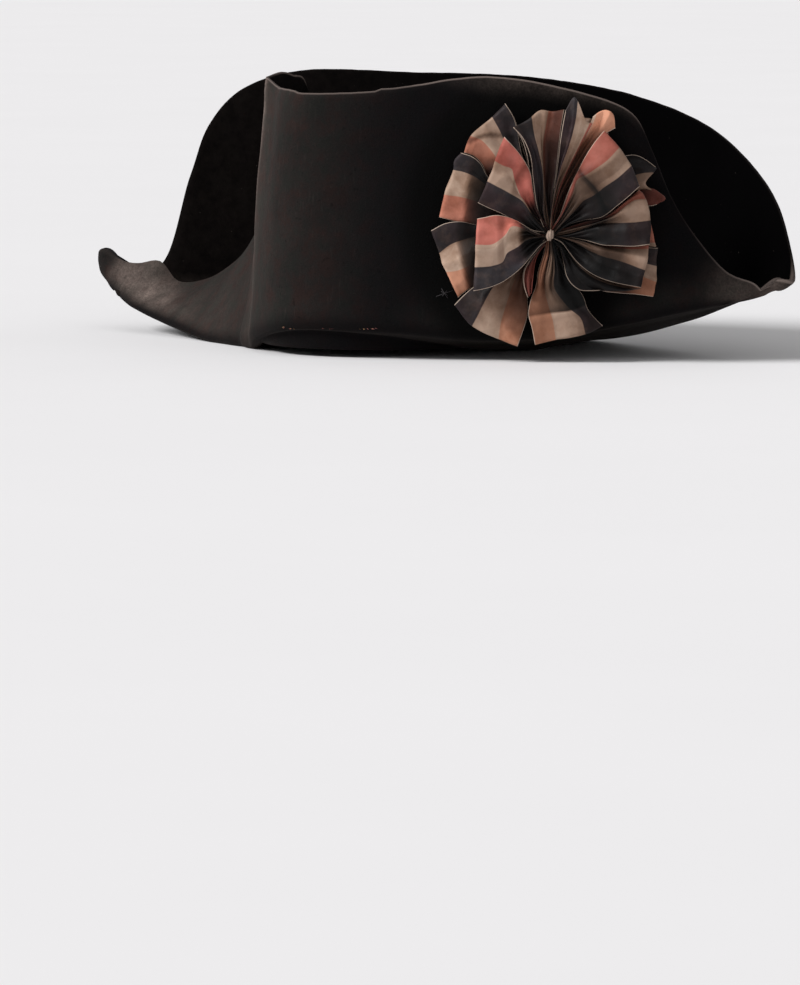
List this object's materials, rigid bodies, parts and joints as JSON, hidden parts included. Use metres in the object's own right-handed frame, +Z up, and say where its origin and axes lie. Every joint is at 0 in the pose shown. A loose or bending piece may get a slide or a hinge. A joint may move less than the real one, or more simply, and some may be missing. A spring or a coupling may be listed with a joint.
{
  "type": "bicorne hat",
  "caption": "Felt bicorne whose brim is turned up close in front, leans out behind and ends in upturned horns, with a pleated striped ribbon cockade on the wearer's left",
  "frame": {"origin": "on the floor, under the middle of the whole hat as it rests on its rim", "axes": "+Z up, -Y to the front of the wearer, +X to the wearer's left, along the hat from horn to horn"},
  "size_m": [0.4954, 0.2329, 0.1586],
  "materials": {
    "worn_black_felt": "matt fur felt, once black and faded to brown-black outside, still near black inside",
    "striped_silk_ribbon": "soft silk ribbon with three equal stripes, dark, cream and salmon",
    "cream_silk_knot": "soft cream silk, wrapped"
  },
  "bodies": {
    "root": {"felt_body": "worn_black_felt", "cockade_back_loops": "striped_silk_ribbon", "cockade_front_loops": "striped_silk_ribbon", "cockade_knot": "cream_silk_knot"}
  },
  "joints": []
}
